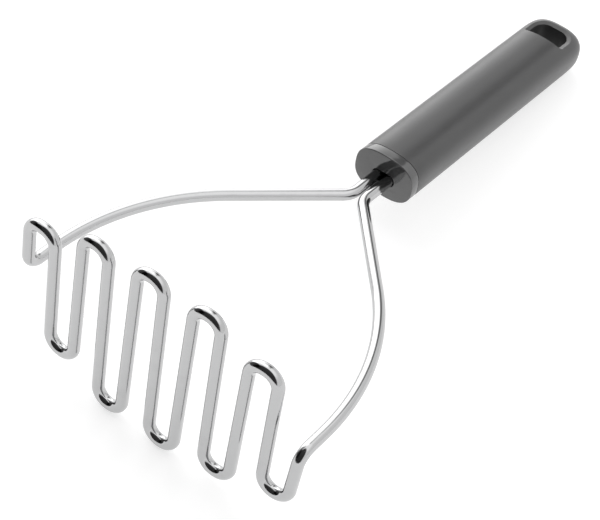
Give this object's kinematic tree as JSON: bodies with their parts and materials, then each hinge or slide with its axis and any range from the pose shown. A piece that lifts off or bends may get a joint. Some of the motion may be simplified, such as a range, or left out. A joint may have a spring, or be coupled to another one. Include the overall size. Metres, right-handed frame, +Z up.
{
  "type": "wire potato masher",
  "caption": "Potato masher: a zigzag head of bent polished wire on two arms, held in an oval plastic handle with a hanging hole.",
  "frame": {"origin": "bottom centre of the bounding box, on the table that the tool lies on", "axes": "+Z up from the table; +Y along the tool from the mashing head to the end of the handle; +X across the head, to the right seen from the mashing side"},
  "size_m": [0.1254, 0.2652, 0.0754],
  "materials": {
    "steel_wire": "mirror-polished stainless steel wire",
    "satin_plastic": "satin charcoal grey moulded plastic",
    "gloss_plastic": "glossy charcoal grey moulded plastic",
    "core_plastic": "plain black moulded plastic, hidden inside the handle"
  },
  "bodies": {
    "root": {"bent_wire": "steel_wire", "handle_shell": "satin_plastic", "front_cap": "gloss_plastic", "tang_core": "core_plastic"}
  },
  "joints": []
}
